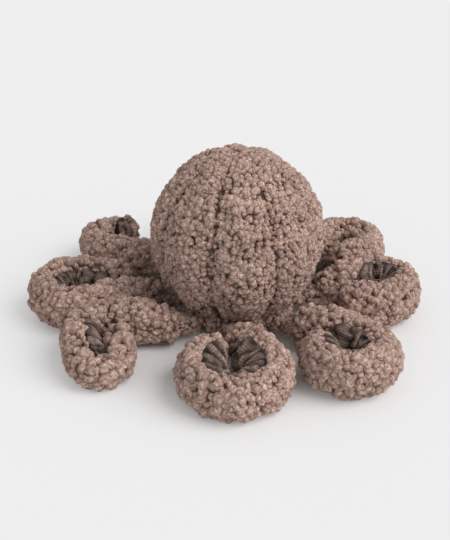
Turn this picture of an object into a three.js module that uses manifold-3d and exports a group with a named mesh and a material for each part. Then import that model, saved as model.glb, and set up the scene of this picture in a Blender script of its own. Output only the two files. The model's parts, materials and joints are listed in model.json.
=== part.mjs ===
// Plush octopus dog toy: a stuffed head of eight sewn panels and eight curled arms.
// Millimetres, +Z up. The origin is the middle of the base on the floor; the front arm points along -Y.
import * as THREE from "three";
import { mergeVertices } from "three/addons/utils/BufferGeometryUtils.js";
import Module from "manifold-3d";

const wasm = await Module();
wasm.setup();

// Head: a ball a little taller than wide, cut off at the base seam
const headDiameter = 125;
const headHeight = 130;
const panelThickness = 4;
const panelTurn = 4.5; // degrees that the front panel's middle stands to the right of the front arm
const seamDraw = 1.6; // how far the thread pulls a panel seam in
const crownGap = 4; // radius that the panel points leave open at the crown
const seamRadius = 42; // the base seam, where the panels end and the arms are sewn on

// Base: a flat panel under the filling and a seam band around it
const basePanelThickness = 4;
const baseFlatRadius = 34; // the flat that stands on the floor
const baseRimHeight = 5.5;
const bandThickness = 3;

// Squeaker inside the filling
const squeakerDiameter = 44;
const squeakerHeight = 26;
const squeakerWall = 1.5;
const reedDiameter = 9;
const reedBore = 3;
const reedFlange = 1.5;
const squeakerCentre = 64; // height of its middle above the floor

// Arms: a pile cover that wraps the outside of the curl, and a lining gathered on the inside
const armCount = 8;
const armHeight = 34.5; // where the arm is fullest, near its root
const armWidth = 30;
const tipHeight = 33; // the section tapers to this at the tip
const tipWidth = 26;
const tipLength = 14; // the rounded end
const hemThickness = 12; // the flattened root that is sewn to the base seam
const hemWidth = 24;
const swellLength = 38; // from the hem to the full section
const innerFlatness = 0.95; // the gathered side stands this much nearer the middle than the outer side
const floorFlat = 0.5; // how deep the floor flattens an arm's underside
const coverThickness = 4;
const liningThickness = 1.5;
const liningHalfAngle = 30; // degrees of the section that the lining takes, to each side
const liningGap = 0.7; // between the lining's edges and the cover
const gussetLength = 30; // the lining opens from a point to its full width over this length
const armLength = 188; // the front arm from its root to its tip; the others keep their share of it
const elasticFrom = 0.6; // share of the lining's opening where the elastic starts and ends
const elasticThickness = 1.2;
const elasticWidth = 5;

// Thread and clearances
const threadDiameter = 1.6;
const knotDiameter = 6.8;
const knotThickness = 3;
const clearance = 0.4; // between pieces that are sewn or packed together
const fillingEase = 1.2; // between the head's filling and its panels, where they meet at a seam

// How fine the solids are
const ringStep = 15; // most distance between sections along an arm
const ringTurn = 31; // most degrees between them in a curl
const ringClearance = 2.5; // a section nearer than this to an end of the lining gives way to it
const panelColumns = 4;
const panelRows = 8;
const roundSides = 24;

// How each arm lies: arcs of [length, bend], from a root that points straight out.
// A positive bend turns to the curl's side. Curl 1 is clockwise from above, -1 is the other way.
// Girth scales the section's height and width; the lining starts to open where the arm is lined.
const armLines = [
  { name: "front", curl: 1, girth: [1, 0.9], lined: 38, arcs: [[16, -30], [34, 0], [95, 198], [43, 86]] },
  { name: "front_right", curl: 1, girth: [1.1, 1.03], lined: 50, arcs: [[16, -12], [49, 0], [71, 194], [30, 82]] },
  { name: "right", curl: 1, girth: [1.15, 0.98], lined: 44, arcs: [[20, -20], [33, 0], [62, 204], [27, 4]] },
  { name: "back_right", curl: 1, girth: [1.08, 0.96], lined: 46, arcs: [[16, -4], [40, 0], [67, 208], [19, 0]] },
  { name: "back", curl: 1, girth: [1, 0.93], lined: 36, arcs: [[16, -38], [30, 0], [94, 200], [42, 66]] },
  { name: "back_left", curl: 1, girth: [0.96, 0.85], lined: 62, arcs: [[20, -25], [57, 0], [35, 147], [24, 0]] },
  { name: "left", curl: 1, girth: [1.05, 0.88], lined: 54, arcs: [[30, -24], [38, 0], [49, 130], [31, 76], [40, 14]] },
  { name: "front_left", curl: -1, girth: [1.13, 0.83], lined: 78, arcs: [[24, -42], [36, 0], [35, 97], [18, 0], [42, 182], [17, 0]] },
];
const runLength = (arcs) => arcs.reduce((sum, [run]) => sum + run, 0);
const armScale = armLength / runLength(armLines[0].arcs);
const arms = armLines.map((arm) => {
  const arcs = arm.arcs.map(([run, bend]) => [run * armScale, bend]);
  return { ...arm, arcs, lined: arm.lined * armScale };
});

const pile = new THREE.MeshStandardMaterial({ color: 0x9b8176, roughness: 0.95, metalness: 0 });
const velour = new THREE.MeshStandardMaterial({ color: 0x5d4d47, roughness: 0.9, metalness: 0 });
const fibre = new THREE.MeshStandardMaterial({ color: 0xe9e6df, roughness: 1, metalness: 0 });
const webbing = new THREE.MeshStandardMaterial({ color: 0x6b5a52, roughness: 0.9, metalness: 0 });
const rubber = new THREE.MeshStandardMaterial({ color: 0xd8d2c4, roughness: 0.8, metalness: 0 });
const plastic = new THREE.MeshStandardMaterial({ color: 0xdde3e6, roughness: 0.4, metalness: 0 });
const thread = new THREE.MeshStandardMaterial({ color: 0x7a665d, roughness: 0.8, metalness: 0 });

const toy = new THREE.Group();
const radians = THREE.MathUtils.degToRad;
const smooth = THREE.MathUtils.smoothstep;

function addPiece(name, geometry, material, group = toy) {
  const piece = new THREE.Mesh(geometry, material);
  piece.name = name;
  group.add(piece);
}

// A closed mesh from points and triangles, turned so that its faces point out
function closedGeometry(points, triangles) {
  let volume = 0;
  for (let i = 0; i < triangles.length; i += 3) {
    const [a, b, c] = [0, 1, 2].map((k) => points[triangles[i + k]]);
    volume += a.dot(b.clone().cross(c));
  }
  const index = volume < 0 ? triangles.slice().reverse() : triangles;
  return new THREE.BufferGeometry().setFromPoints(points).setIndex(index);
}

// Joins closed outlines of equal counts, given as flat outlines and the functions that place them
function loft(sections) {
  const count = sections[0].outline.length;
  const points = sections.flatMap(({ outline, place }) => outline.map(place));
  const triangles = [];
  for (let ring = 0; ring + 1 < sections.length; ring++) {
    for (let side = 0; side < count; side++) {
      const a = ring * count + side;
      const b = ring * count + ((side + 1) % count);
      triangles.push(a, b, b + count, a, b + count, a + count);
    }
  }
  const start = THREE.ShapeUtils.triangulateShape(sections[0].outline, []);
  const end = THREE.ShapeUtils.triangulateShape(sections.at(-1).outline, []);
  const last = (sections.length - 1) * count;
  const turned = THREE.ShapeUtils.area(sections[0].outline) > 0;
  const facing = ([a, b, c], forward) => (forward ? [a, b, c] : [a, c, b]);
  for (const face of start) triangles.push(...facing(face, !turned));
  for (const face of end) triangles.push(...facing(face, turned).map((k) => k + last));
  return closedGeometry(points, triangles);
}

// A solid of revolution about Z from [radius, height] points
function turnedSolid(profile) {
  const geometry = new THREE.LatheGeometry(profile.map((p) => new THREE.Vector2(...p)), roundSides);
  geometry.rotateX(Math.PI / 2);
  return closedGeometry(...pointsAndTriangles(geometry));
}

function pointsAndTriangles(geometry) {
  const bare = new THREE.BufferGeometry().setAttribute("position", geometry.getAttribute("position"));
  const merged = mergeVertices(bare.setIndex(geometry.index), 1e-4);
  const position = merged.getAttribute("position");
  const points = Array.from({ length: position.count }, (_, i) => new THREE.Vector3().fromBufferAttribute(position, i));
  const triangles = [];
  for (let i = 0; i < merged.index.count; i += 3) {
    const face = [0, 1, 2].map((k) => merged.index.getX(i + k));
    if (new Set(face).size === 3) triangles.push(...face);
  }
  return [points, triangles];
}

function manifoldOf(geometry) {
  const [points, triangles] = pointsAndTriangles(geometry);
  const vertProperties = new Float32Array(points.flatMap((p) => p.toArray()));
  return new wasm.Manifold(new wasm.Mesh({ numProp: 3, vertProperties, triVerts: new Uint32Array(triangles) }));
}

function geometryOf(solid) {
  const { vertProperties, triVerts } = solid.getMesh();
  return new THREE.BufferGeometry()
    .setAttribute("position", new THREE.BufferAttribute(vertProperties, 3))
    .setIndex(new THREE.BufferAttribute(triVerts, 1));
}

// Head surface: angle 0 is the lowest point of the ball and 180 the crown; depth goes in along the normal
const headHalfWidth = headDiameter / 2;
const headHalfHeight = headHeight / 2;
function headProfile(angle, depth) {
  const radius = headHalfWidth * Math.sin(angle);
  const height = headHalfHeight * (1 - Math.cos(angle));
  const normal = new THREE.Vector2(Math.sin(angle) / headHalfWidth, -Math.cos(angle) / headHalfHeight).normalize();
  return [radius - normal.x * depth, height - normal.y * depth];
}
const seamAngle = Math.asin(seamRadius / headHalfWidth);
const crownAngle = Math.PI - Math.asin(crownGap / headHalfWidth);
const panelSpread = (2 * Math.PI) / armCount;
const panelMiddle = (k) => radians(panelTurn - 90) + k * panelSpread;

// One head panel: a gore that bulges between its two seams
function headPanel(k) {
  const surface = (column, row, depth) => {
    const across = (2 * column) / panelColumns - 1;
    const angle = THREE.MathUtils.lerp(seamAngle, crownAngle, row / panelRows);
    const [radius, height] = headProfile(angle, depth + seamDraw * Math.abs(across) ** 3);
    const half = panelSpread / 2 - Math.asin(clearance / 2 / Math.max(radius, clearance));
    const turn = panelMiddle(k) + across * half;
    return new THREE.Vector3(radius * Math.cos(turn), radius * Math.sin(turn), height);
  };
  const points = [];
  for (const depth of [0, panelThickness]) {
    for (let row = 0; row <= panelRows; row++) {
      for (let column = 0; column <= panelColumns; column++) points.push(surface(column, row, depth));
    }
  }
  const wide = panelColumns + 1;
  const layer = wide * (panelRows + 1);
  const triangles = [];
  const quad = (a, b, c, d) => triangles.push(a, b, c, a, c, d);
  for (let row = 0; row < panelRows; row++) {
    for (let column = 0; column < panelColumns; column++) {
      const a = row * wide + column;
      quad(a, a + 1, a + 1 + wide, a + wide);
      quad(a + layer, a + layer + wide, a + layer + wide + 1, a + layer + 1);
    }
    const left = row * wide;
    const right = left + panelColumns;
    quad(left, left + wide, left + wide + layer, left + layer);
    quad(right, right + layer, right + layer + wide, right + wide);
  }
  for (let column = 0; column < panelColumns; column++) {
    const top = panelRows * wide + column;
    quad(column, column + layer, column + 1 + layer, column + 1);
    quad(top, top + 1, top + 1 + layer, top + layer);
  }
  return closedGeometry(points, triangles);
}

// Seam thread: one strand down each panel seam, all caught in a knot at the crown
function seamThread() {
  const radius = threadDiameter / 2;
  const knotHeight = headHeight - panelThickness / 2;
  const knot = new THREE.SphereGeometry(knotDiameter / 2, 12, 8).scale(1, 1, knotThickness / knotDiameter);
  let net = manifoldOf(knot.translate(0, 0, knotHeight));
  const square = [[1, 1], [-1, 1], [-1, -1], [1, -1]].map(([x, y]) => new THREE.Vector2(x * radius, y * radius));
  for (let k = 0; k < armCount; k++) {
    const turn = panelMiddle(k) + panelSpread / 2;
    const out = new THREE.Vector3(Math.cos(turn), Math.sin(turn), 0);
    const across = new THREE.Vector3(-Math.sin(turn), Math.cos(turn), 0);
    const sections = [];
    for (let row = 0; row <= panelRows; row++) {
      const angle = THREE.MathUtils.lerp(seamAngle, crownAngle, row / panelRows);
      const halfPanel = headProfile(angle, 0)[0] * Math.sin(panelSpread / 2);
      const groove = seamDraw * Math.max(1 - (2 * radius) / halfPanel, 0);
      const [along, height] = headProfile(angle, groove - radius - clearance);
      const normal = out.clone().multiplyScalar(Math.sin(angle) * headHalfHeight);
      normal.setZ(-Math.cos(angle) * headHalfWidth).normalize();
      const middle = out.clone().multiplyScalar(along).setZ(height);
      const place = (p) => middle.clone().addScaledVector(normal, p.x).addScaledVector(across, p.y);
      sections.push({ outline: square, place });
    }
    const end = new THREE.Vector3(0, 0, knotHeight);
    const last = sections.at(-1).place;
    sections.push({ outline: square, place: (p) => last(p).lerp(end, 0.8) });
    net = net.add(manifoldOf(loft(sections)));
  }
  return geometryOf(net);
}

// Filling: two wads of fibre, with a pocket between them for the squeaker
function headFilling(upper) {
  const depth = panelThickness + seamDraw + fillingEase;
  const split = squeakerCentre + (upper ? clearance / 2 : -clearance / 2);
  const splitAngle = Math.acos(1 - split / headHalfHeight);
  const steps = 6;
  const wad = [];
  if (upper) {
    for (let i = 0; i <= steps; i++) {
      const [radius, height] = headProfile(THREE.MathUtils.lerp(splitAngle, Math.PI, i / steps), depth);
      wad.push([radius, i === 0 ? split : height]);
    }
    wad.at(-1)[0] = 0;
    wad.reverse();
  } else {
    const floor = basePanelThickness + clearance;
    const foot = seamRadius - panelThickness - bandThickness - clearance;
    wad.push([0, floor], [baseFlatRadius - basePanelThickness, floor], [foot, baseRimHeight + clearance]);
    for (let i = 0; i <= steps; i++) {
      const [radius, height] = headProfile(THREE.MathUtils.lerp(seamAngle, splitAngle, i / steps), depth);
      wad.push([radius, i === steps ? split : height]);
    }
  }
  const pocketRadius = squeakerDiameter / 2 + clearance;
  const pocketHeight = squeakerHeight / 2 + clearance + (upper ? 0 : reedFlange);
  const roof = split + (upper ? pocketHeight : -pocketHeight);
  wad.push([pocketRadius, split], [pocketRadius, (split + roof) / 2], [pocketRadius * 0.7, roof], [0, roof]);
  return turnedSolid(wad);
}

// Squeaker: a hollow bladder with a reed pressed into its lower mouth
function squeakerBladder() {
  const [outer, half, mouth] = [squeakerDiameter / 2, squeakerHeight / 2, reedDiameter / 2 + clearance];
  const [inner, room] = [outer - squeakerWall, half - squeakerWall];
  const shell = [[mouth, -half], [outer * 0.7, -half], [outer, -half / 2], [outer, half / 2], [outer * 0.7, half], [0, half]];
  const hollow = [[0, room], [inner * 0.7, room], [inner, room / 2], [inner, -room / 2], [inner * 0.7, -room], [mouth, -room]];
  const profile = [...shell, ...hollow, shell[0]];
  return turnedSolid(profile.map(([r, z]) => [r, squeakerCentre + z]));
}

function squeakerReed() {
  const [outer, bore] = [reedDiameter / 2, reedBore / 2];
  const low = squeakerCentre - squeakerHeight / 2 - clearance;
  const flange = outer + 2 * squeakerWall;
  const top = low + clearance + 3 * squeakerWall;
  const foot = low - reedFlange + clearance;
  const profile = [[bore, foot], [flange, foot], [flange, low], [outer, low], [outer, top], [bore, top], [bore, foot]];
  return turnedSolid(profile);
}

// Base panel, flat where the toy stands, and the band that the arms are sewn to
function basePanel() {
  const rim = seamRadius - clearance;
  const profile = [[0, 0], [baseFlatRadius, 0], [rim - 2, baseRimHeight / 3], [rim, baseRimHeight]];
  profile.push([rim - basePanelThickness, baseRimHeight], [baseFlatRadius - 2, basePanelThickness], [0, basePanelThickness]);
  return turnedSolid(profile);
}

function seamBand() {
  const outer = seamRadius;
  const inner = outer - bandThickness;
  const low = baseRimHeight + clearance;
  const high = headProfile(seamAngle, 0)[1] - clearance;
  return turnedSolid([[inner, low], [outer, low], [outer, high], [inner, high], [inner, low]]);
}

// Arm line: the place and heading at a distance from the root hinge
const hemRadius = hemThickness / 2;
const rootRadius = seamRadius + clearance + hemRadius;
const rootHeight = baseRimHeight + hemRadius;
function armPlace(arm, azimuth, distance) {
  let [x, y] = [rootRadius * Math.cos(azimuth), rootRadius * Math.sin(azimuth)];
  let heading = azimuth;
  let rest = distance;
  for (const [run, bend] of arm.arcs) {
    const step = Math.min(rest, run);
    const turn = step > 0 ? (-arm.curl * radians(bend) * step) / run : 0;
    const chord = turn === 0 ? step : (step * Math.sin(turn / 2)) / (turn / 2);
    x += chord * Math.cos(heading + turn / 2);
    y += chord * Math.sin(heading + turn / 2);
    heading += turn;
    rest -= step;
    if (rest === 0) break;
  }
  return { x, y, heading };
}

// Half width and half height of the section, and how far the lining opens there
function armSection(arm, distance, length) {
  const swell = smooth(distance, 0, swellLength);
  const hem = distance < 0 ? Math.sqrt(Math.max(1 - (distance / hemRadius) ** 2, 0)) : 1;
  const intoTip = Math.max((distance - (length - tipLength)) / tipLength, 0);
  const round = Math.sqrt(Math.max(1 - intoTip ** 2, 0));
  const taper = Math.max(distance, 0) / length;
  const fullHeight = (THREE.MathUtils.lerp(armHeight, tipHeight, taper) * arm.girth[0]) / 2;
  const fullWidth = THREE.MathUtils.lerp(armWidth, tipWidth, taper) * arm.girth[1];
  const halfHeight = THREE.MathUtils.lerp(hemRadius, fullHeight, swell) * hem * round;
  const halfWidth = (THREE.MathUtils.lerp(hemWidth, fullWidth, swell) / (1 + innerFlatness)) * round;
  const opening = smooth(distance, arm.lined, arm.lined + gussetLength) * smooth(length - distance, tipLength / 3, gussetLength);
  const middle = THREE.MathUtils.lerp(rootHeight, fullHeight - floorFlat, swell);
  return { halfHeight, halfWidth, opening, middle };
}

const fillingInset = coverThickness + clearance;

// A point of the section: angle 0 is the outside of the curl, 180 the gathered side, inset goes inwards
function sectionPoint({ halfHeight, halfWidth, middle }, angle, inset) {
  const room = 0.8 * Math.min(halfHeight, halfWidth * innerFlatness);
  const give = inset * Math.min(room / fillingInset, 1);
  const [c, s] = [Math.cos(radians(angle)), Math.sin(radians(angle))];
  const reach = c < 0 ? halfWidth * innerFlatness : halfWidth;
  const up = (halfHeight - give) * s;
  return new THREE.Vector2((reach - give) * c, Math.max(up, inset === 0 ? -middle : -Infinity));
}

// Section angles of the cover between its two edges: the outer wall has a flat under it
const outerAngles = [-102, -78, -40, 0, 40, 78, 102];
const innerAngles = [-90, -40, 0, 40, 90];

// Where the lining starts and ends, half open
const liningEnds = (arm, length) => [arm.lined + gussetLength / 2, length - (tipLength / 3 + gussetLength) / 2];

function armRings(arm, azimuth, length) {
  const distances = [-0.97, -0.7, 0].map((share) => share * hemRadius);
  let start = 0;
  for (const [run, bend] of arm.arcs) {
    const reach = Math.min(run, length - tipLength - start);
    const count = Math.ceil(Math.max(reach / ringStep, (Math.abs(bend) * reach) / run / ringTurn));
    for (let i = 1; i <= count; i++) distances.push(start + (reach * i) / count);
    start += run;
  }
  for (const share of [0.5, 0.8, 0.96]) distances.push(length - tipLength + share * tipLength);
  const lined = liningEnds(arm, length);
  const clear = distances.filter((distance) => lined.every((mark) => Math.abs(distance - mark) > ringClearance));
  return [...clear, ...lined].sort((a, b) => a - b).map((distance) => {
    const section = armSection(arm, distance, length);
    const { x, y, heading } = armPlace(arm, azimuth, distance);
    const outside = new THREE.Vector2(-Math.sin(heading), Math.cos(heading)).multiplyScalar(arm.curl);
    const place = (p) => new THREE.Vector3(x + outside.x * p.x, y + outside.y * p.x, section.middle + p.y);
    const opening = Math.max(liningHalfAngle * section.opening, 2);
    const slack = liningGap / Math.max(Math.min(section.halfWidth * innerFlatness, section.halfHeight), liningGap);
    const coverEnd = 180 - opening;
    const liningEnd = opening - THREE.MathUtils.radToDeg(slack);
    return { distance, fromTip: length - distance, section, place, coverEnd, liningEnd };
  });
}

function armPieces(arm, k) {
  const length = runLength(arm.arcs);
  const rings = armRings(arm, radians(-90) + k * panelSpread, length);
  const coverWall = (ring, angles, inset) => {
    const turns = [-ring.coverEnd, ...angles, ring.coverEnd];
    return turns.map((angle) => sectionPoint(ring.section, angle, inset));
  };
  const liningWall = (ring, shares, inset) => {
    return shares.map((share) => sectionPoint(ring.section, 180 - share * ring.liningEnd, inset));
  };

  const cover = rings.map((ring) => {
    const inner = coverWall(ring, innerAngles, coverThickness).reverse();
    const edge = (angle) => sectionPoint(ring.section, angle, liningThickness);
    const outline = [...coverWall(ring, outerAngles, 0), edge(ring.coverEnd), ...inner, edge(-ring.coverEnd)];
    return { outline, place: ring.place };
  });
  const filled = rings.filter((ring) => ring.distance >= 0 && ring.fromTip >= tipLength / 2);
  const filling = filled.map((ring) => {
    return { outline: coverWall(ring, innerAngles, fillingInset).reverse(), place: ring.place };
  });
  const [first, last] = liningEnds(arm, length);
  const lined = rings.filter(({ distance }) => distance >= first && distance <= last);
  const lining = lined.map((ring) => {
    const inner = liningWall(ring, [1, 0.5, 0, -0.5, -1], liningThickness);
    return { outline: [...liningWall(ring, [-1, -0.5, 0, 0.5, 1], 0), ...inner], place: ring.place };
  });
  const elastic = lined.filter(({ section }) => section.opening > elasticFrom).map((ring) => {
    const outside = -(ring.section.halfWidth * innerFlatness - liningThickness - 2 * clearance);
    const corner = ([x, y]) => new THREE.Vector2(outside + x * elasticThickness, (y * elasticWidth) / 2);
    return { outline: [[0, -1], [1, -1], [1, 1], [0, 1]].map(corner), place: ring.place };
  });
  addPiece(`arm_${arm.name}_cover`, loft(cover), pile);
  addPiece(`arm_${arm.name}_lining`, loft(lining), velour);
  addPiece(`arm_${arm.name}_filling`, loft(filling), fibre);
  addPiece(`arm_${arm.name}_elastic`, loft(elastic), rubber);
}

for (let k = 0; k < armCount; k++) addPiece(`head_panel_${k + 1}`, headPanel(k), pile);
addPiece("head_seam_thread", seamThread(), thread);
addPiece("head_filling_upper", headFilling(true), fibre);
addPiece("head_filling_lower", headFilling(false), fibre);
addPiece("squeaker_bladder", squeakerBladder(), plastic);
addPiece("squeaker_reed", squeakerReed(), plastic);
addPiece("base_panel", basePanel(), pile);
addPiece("base_seam_band", seamBand(), webbing);
arms.forEach(armPieces);

export default toy;
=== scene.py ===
import json
import math
import random

import bpy
import numpy as np
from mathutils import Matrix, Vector, noise

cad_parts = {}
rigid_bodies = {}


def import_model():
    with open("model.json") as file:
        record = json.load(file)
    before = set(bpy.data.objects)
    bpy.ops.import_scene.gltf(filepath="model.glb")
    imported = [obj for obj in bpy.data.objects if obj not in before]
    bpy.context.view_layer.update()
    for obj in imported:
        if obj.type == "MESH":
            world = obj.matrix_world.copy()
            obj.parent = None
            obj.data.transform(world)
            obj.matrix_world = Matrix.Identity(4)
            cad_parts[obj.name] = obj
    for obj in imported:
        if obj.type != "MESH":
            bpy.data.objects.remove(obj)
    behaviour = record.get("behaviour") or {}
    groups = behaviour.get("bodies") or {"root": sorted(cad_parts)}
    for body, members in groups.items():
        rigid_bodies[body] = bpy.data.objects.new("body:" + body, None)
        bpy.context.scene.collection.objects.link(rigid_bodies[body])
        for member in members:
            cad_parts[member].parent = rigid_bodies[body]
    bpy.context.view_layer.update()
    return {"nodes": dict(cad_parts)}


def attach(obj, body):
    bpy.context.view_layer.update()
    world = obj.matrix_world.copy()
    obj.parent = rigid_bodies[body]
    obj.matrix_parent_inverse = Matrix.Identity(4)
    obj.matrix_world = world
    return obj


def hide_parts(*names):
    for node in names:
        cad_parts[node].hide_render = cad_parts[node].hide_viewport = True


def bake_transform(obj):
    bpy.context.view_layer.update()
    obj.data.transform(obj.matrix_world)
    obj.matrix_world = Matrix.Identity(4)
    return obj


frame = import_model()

scene = bpy.context.scene
mm = 0.001
weldGap = 0.001 * mm


# small helpers for working with the operators

def pickNone():
    if bpy.context.object and bpy.context.object.mode != "OBJECT":
        bpy.ops.object.mode_set(mode="OBJECT")
    bpy.ops.object.select_all(action="DESELECT")


def pickOnly(piece):
    pickNone()
    piece.select_set(True)
    bpy.context.view_layer.objects.active = piece


def newPiece(name):
    piece = bpy.context.object  # what the last primitive made
    piece.name = name
    piece.data.name = name
    return piece


def applyAll(piece):
    pickOnly(piece)
    for modifier in list(piece.modifiers):
        bpy.ops.object.modifier_apply(modifier=modifier.name)


def applyPlace(piece):
    pickOnly(piece)
    bpy.ops.object.transform_apply(location=True, rotation=True, scale=True)


def copyOf(piece, name):
    twin = bpy.data.objects.new(name, piece.data.copy())
    twin.data.name = name
    scene.collection.objects.link(twin)
    return twin


def remove(piece):
    mesh = piece.data
    bpy.data.objects.remove(piece)
    bpy.data.meshes.remove(mesh)


def pointsOf(piece):
    flat = np.empty(len(piece.data.vertices) * 3, np.float32)
    piece.data.vertices.foreach_get("co", flat)
    return flat.reshape(-1, 3).astype(float)


def setPoints(piece, points):
    piece.data.vertices.foreach_set("co", points.astype(np.float32).ravel())
    piece.data.update()


def setValues(piece, name, values):  # a number or a vector for each point
    values = np.asarray(values, np.float32)
    kind, field = ("FLOAT", "value") if values.ndim == 1 else ("FLOAT_VECTOR", "vector")
    layer = piece.data.attributes.get(name) or piece.data.attributes.new(name, kind, "POINT")
    layer.data.foreach_set(field, values.ravel())


def valuesOf(piece, name):
    values = np.empty(len(piece.data.vertices), np.float32)
    piece.data.attributes[name].data.foreach_get("value", values)
    return values


def editAll(piece, operator, **settings):
    pickOnly(piece)
    bpy.ops.object.mode_set(mode="EDIT")
    bpy.ops.mesh.select_all(action="SELECT")
    operator(**settings)
    bpy.ops.object.mode_set(mode="OBJECT")


def keepAbove(piece, height):
    points = pointsOf(piece)
    points[:, 2] = np.maximum(points[:, 2], height)
    setPoints(piece, points)


def faceOut(piece):
    editAll(piece, bpy.ops.mesh.normals_make_consistent, inside=False)


def dress(piece, material):
    piece.data.materials.clear()
    piece.data.materials.append(material)


def addLumps(piece, size, strength, middle):
    lumps = bpy.data.textures.new(f"{piece.name}_lumps", "CLOUDS")
    lumps.noise_scale = size
    push = piece.modifiers.new("lumps", "DISPLACE")
    push.texture = lumps
    push.texture_coords = "LOCAL"
    push.strength = strength
    push.mid_level = middle


def shadeSmooth(piece):
    pickOnly(piece)
    bpy.ops.object.shade_smooth()


def subdivideOnce(piece):
    finer = piece.modifiers.new("finer", "SUBSURF")
    finer.levels = finer.render_levels = 1
    applyAll(piece)


# turns a profile of (radius, height) points round Z; the order of its points is the same in each run
def turned(name, profile, steps):
    pickNone()
    bpy.ops.mesh.primitive_grid_add(x_subdivisions=len(profile) - 1, y_subdivisions=1, size=2)
    piece = newPiece(name)
    bpy.ops.object.mode_set(mode="EDIT")
    bpy.ops.mesh.select_mode(type="VERT")
    bpy.ops.mesh.select_all(action="DESELECT")
    bpy.ops.object.mode_set(mode="OBJECT")
    for point in piece.data.vertices:
        point.select = point.co.y > 0
    bpy.ops.object.mode_set(mode="EDIT")
    bpy.ops.mesh.delete(type="VERT")
    bpy.ops.object.mode_set(mode="OBJECT")
    place = np.argsort(np.argsort(pointsOf(piece)[:, 0]))
    setPoints(piece, np.array([(radius, 0, height) for radius, height in profile])[place])
    turn = piece.modifiers.new("turn", "SCREW")
    turn.steps = turn.render_steps = steps
    turn.use_merge_vertices = True
    turn.merge_threshold = weldGap
    applyAll(piece)
    faceOut(piece)
    return piece


def smoothStep(value, low, high):
    t = np.clip((value - low) / (high - low), 0, 1)
    return t * t * (3 - 2 * t)


def mixed(pair, share):
    return pair[0] + (pair[1] - pair[0]) * share


wanderApart = 3.7  # how far the noise of two seeds lies apart


# smooth chance between -1 and 1 for each pair of places
def wander(first, second, seed):
    return np.array([noise.noise((a, b, seed * wanderApart)) for a, b in zip(first, second)])


# small helpers for nodes

def setInputs(node, values):
    for name, value in values.items():
        node.inputs[name].default_value = value


def addNode(tree, kind, inputs=None, **settings):
    node = tree.nodes.new(kind)
    for name, value in settings.items():
        setattr(node, name, value)
    setInputs(node, inputs or {})
    return node


def link(tree, *joints):  # each is (node, output, node, input) or (socket, node, input)
    for *start, node, name in joints:
        socket = start[0].outputs[start[1]] if start[1:] else start[0]
        tree.links.new(socket, node.inputs[name])


def newGroup(name, kind, inputs, outputs):
    tree = bpy.data.node_groups.new(name, kind)
    for way, sockets in (("INPUT", inputs), ("OUTPUT", outputs)):
        for socket, stuff in sockets.items():
            tree.interface.new_socket(socket, in_out=way, socket_type=f"NodeSocket{stuff}")
    return tree, addNode(tree, "NodeGroupInput"), addNode(tree, "NodeGroupOutput")


def ramp(tree, *stops):
    node = addNode(tree, "ShaderNodeValToRGB")
    marks = node.color_ramp.elements
    while len(marks) < len(stops):
        marks.new(0.5)
    for mark, (place, colour) in zip(marks, stops):
        mark.position = place
        mark.color = colour
    return node


def multiply(tree, colour, *others):
    for other in others:
        node = addNode(tree, "ShaderNodeMix", {"Factor": 1}, data_type="RGBA", blend_type="MULTIPLY")
        link(tree, (colour, node, "A"), (other, node, "B"))
        colour = node.outputs["Result"]
    return colour


def newMaterial(name, inputs):
    material = bpy.data.materials.new(name)
    material.use_nodes = True
    shader = material.node_tree.nodes["Principled BSDF"]
    setInputs(shader, {"Specular IOR Level": 0.15, "Sheen Roughness": 0.5, **inputs})
    return material, material.node_tree, shader


# camera, floor and light

studio = {
    "elevation": 30,  # degrees above the floor
    "distance": 0.9,
    "target": (-0.009, 0, 0.035),
    "lens": 81.24,
    "floorSize": 120,
    "floorGrey": 0.85,
    # between these distances the camera comes to see this share of the floor without shadow
    "floorGlow": {"From Min": 0.1, "From Max": 0.2, "To Max": 0.7},
    "floorSeen": 0.863,
    "floorDrop": 0.4 * mm,  # the floor lies this far under the pile
    "skyLight": 0.53,
    "keyLight": 2.2,
    "keyFrom": (0.71, -0.27, 0.7),
    "keySoftness": 52,
}


def makeCamera():
    pickNone()
    tilt = math.radians(studio["elevation"])
    back = Vector((0, -math.cos(tilt), math.sin(tilt)))
    bpy.ops.object.camera_add(location=Vector(studio["target"]) + back * studio["distance"])
    camera = bpy.context.object
    camera.rotation_euler = (-back).to_track_quat("-Z", "Y").to_euler()
    camera.data.lens = studio["lens"]
    scene.camera = camera


def makeFloor():
    bpy.ops.mesh.primitive_plane_add(size=studio["floorSize"], location=(0, 0, -studio["floorDrop"]))
    floor = newPiece("studio_floor")
    paper = {"Base Color": (*[studio["floorGrey"]] * 3, 1), "Roughness": 1, "Specular IOR Level": 0}
    material, tree, shader = newMaterial("studio_paper", paper)
    glow = addNode(tree, "ShaderNodeEmission", {"Color": (*[studio["floorSeen"]] * 3, 1)})
    path = addNode(tree, "ShaderNodeLightPath")
    place = addNode(tree, "ShaderNodeTexCoord")
    away = addNode(tree, "ShaderNodeVectorMath", operation="LENGTH")
    fade = addNode(tree, "ShaderNodeMapRange", studio["floorGlow"])
    mirrored = addNode(tree, "ShaderNodeMath", operation="ADD")  # or seen through glass
    inView = addNode(tree, "ShaderNodeMath", operation="ADD", use_clamp=True)
    share = addNode(tree, "ShaderNodeMath", operation="MULTIPLY")
    mix = addNode(tree, "ShaderNodeMixShader")
    link(
        tree,
        (place, "Object", away, 0),
        (away, "Value", fade, "Value"),
        (fade, "Result", share, 1),
        (path, "Is Glossy Ray", mirrored, 0),
        (path, "Is Transmission Ray", mirrored, 1),
        (path, "Is Camera Ray", inView, 0),
        (mirrored, "Value", inView, 1),
        (inView, "Value", share, 0),
        (share, "Value", mix, "Fac"),
        (shader, "BSDF", mix, 1),
        (glow, "Emission", mix, 2),
        (mix, "Shader", tree.nodes["Material Output"], "Surface"),
    )
    floor.data.materials.append(material)


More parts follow.
